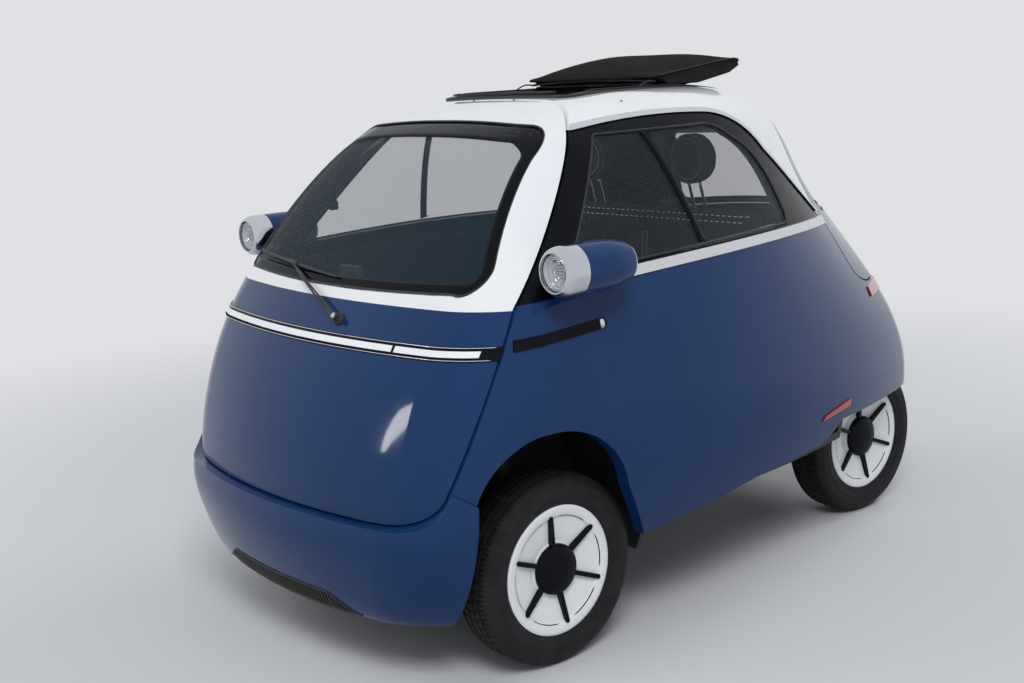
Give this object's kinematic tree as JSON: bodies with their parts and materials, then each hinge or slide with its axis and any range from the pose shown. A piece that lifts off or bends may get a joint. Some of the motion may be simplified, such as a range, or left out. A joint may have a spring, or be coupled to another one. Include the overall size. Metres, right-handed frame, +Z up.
{
  "type": "microcar",
  "caption": "Egg-shaped two-seat microcar with a front door, rear hatch, open fabric roof, lamp pods and steered front wheels.",
  "frame": {"origin": "middle of the footprint on the ground, under the middle of the car's length and width", "axes": "+X to the car's left, +Y to its rear so that -Y is ahead, +Z up"},
  "size_m": [1.6476, 2.5189, 1.595],
  "materials": {
    "blue_paint": "gloss",
    "white_paint": "gloss",
    "silver_trim": "satin",
    "black_plastic": "matte",
    "gloss_black": "gloss",
    "tinted_glass": "clear",
    "clear_glass": "clear",
    "chrome": "polished",
    "mirror": "polished",
    "lamp_white": "gloss",
    "lamp_red": "gloss",
    "tyre": "matte",
    "wheel_white": "gloss",
    "steel": "satin",
    "chassis": "satin",
    "seat_cloth": "matte",
    "roof_cloth": "matte"
  },
  "bodies": {
    "body": {"floor_platform": "chassis", "side_shell_left": "blue_paint", "side_shell_right": "blue_paint", "front_bumper": "blue_paint", "front_grille": "black_plastic", "rear_bumper": "blue_paint", "roof_shell": "white_paint", "window_frames": "gloss_black", "side_glass": "tinted_glass", "belt_trims": "silver_trim", "fender_trims": "gloss_black", "rear_lamps": "lamp_red", "lamp_shells": "blue_paint", "lamp_rings": "chrome", "lamp_lenses": "clear_glass", "mirror_glasses": "mirror", "sunroof_frame": "black_plastic", "sunroof_canopy": "roof_cloth", "seat_base": "seat_cloth", "seat_back": "seat_cloth", "headrests": "seat_cloth", "battery_block": "chassis", "drive_unit": "steel", "rear_axle": "chassis", "front_suspension": "chassis", "steering_column": "black_plastic", "hinge_mounts": "steel"},
    "door": {"door_panel": "blue_paint", "door_frame": "white_paint", "windshield": "clear_glass", "light_bar": "gloss_black", "light_strips": "lamp_white", "wiper": "black_plastic", "door_inner_trim": "black_plastic", "door_hinge_arm": "steel"},
    "hatch": {"hatch_panel": "blue_paint", "rear_window": "tinted_glass", "hatch_hinges": "steel"},
    "steering_wheel": {"steering_wheel": "black_plastic"},
    "knuckle_left": {"knuckle_fl": "steel"},
    "knuckle_right": {"knuckle_fr": "steel"},
    "wheel_front_left": {"tyre_fl": "tyre", "rim_fl": "wheel_white", "wheel_star_fl": "gloss_black"},
    "wheel_front_right": {"tyre_fr": "tyre", "rim_fr": "wheel_white", "wheel_star_fr": "gloss_black"},
    "wheel_rear_left": {"tyre_rl": "tyre", "rim_rl": "wheel_white", "wheel_star_rl": "gloss_black"},
    "wheel_rear_right": {"tyre_rr": "tyre", "rim_rr": "wheel_white", "wheel_star_rr": "gloss_black"}
  },
  "joints": [
    {"name": "door_hinge", "type": "hinge", "parent": "body", "child": "door", "pos_m": [0.672, -0.9, 0.715], "axis": [0, 0, 1], "range_deg": [0, 80]},
    {"name": "hatch_hinge", "type": "hinge", "parent": "body", "child": "hatch", "pos_m": [0, 0.6335, 1.3946], "axis": [1, 0, 0], "range_deg": [0, 75]},
    {"name": "steer_left", "type": "hinge", "parent": "body", "child": "knuckle_left", "pos_m": [0.53, -0.73, 0.262], "axis": [0, 0, 1], "range_deg": [-30, 30]},
    {"name": "steer_right", "type": "hinge", "parent": "body", "child": "knuckle_right", "pos_m": [-0.53, -0.73, 0.262], "axis": [0, 0, 1], "range_deg": [-30, 30]},
    {"name": "steering_column_turn", "type": "hinge", "parent": "body", "child": "steering_wheel", "pos_m": [0.27, -0.5, 0.85], "axis": [0, 0.8601, 0.5101], "range_deg": [-482, 482]},
    {"name": "spin_front_left", "type": "hinge", "parent": "knuckle_left", "child": "wheel_front_left", "pos_m": [0.583, -0.73, 0.262], "axis": [1, 0, 0], "continuous": true},
    {"name": "spin_front_right", "type": "hinge", "parent": "knuckle_right", "child": "wheel_front_right", "pos_m": [-0.583, -0.73, 0.262], "axis": [1, 0, 0], "continuous": true},
    {"name": "spin_rear_left", "type": "hinge", "parent": "body", "child": "wheel_rear_left", "pos_m": [0.3965, 0.845, 0.262], "axis": [1, 0, 0], "continuous": true},
    {"name": "spin_rear_right", "type": "hinge", "parent": "body", "child": "wheel_rear_right", "pos_m": [-0.3965, 0.845, 0.262], "axis": [1, 0, 0], "continuous": true}
  ],
  "couplings": [
    {"joint": "steer_right", "follows": "steer_left", "ratio": 1},
    {"joint": "steering_column_turn", "follows": "steer_left", "ratio": 16}
  ]
}
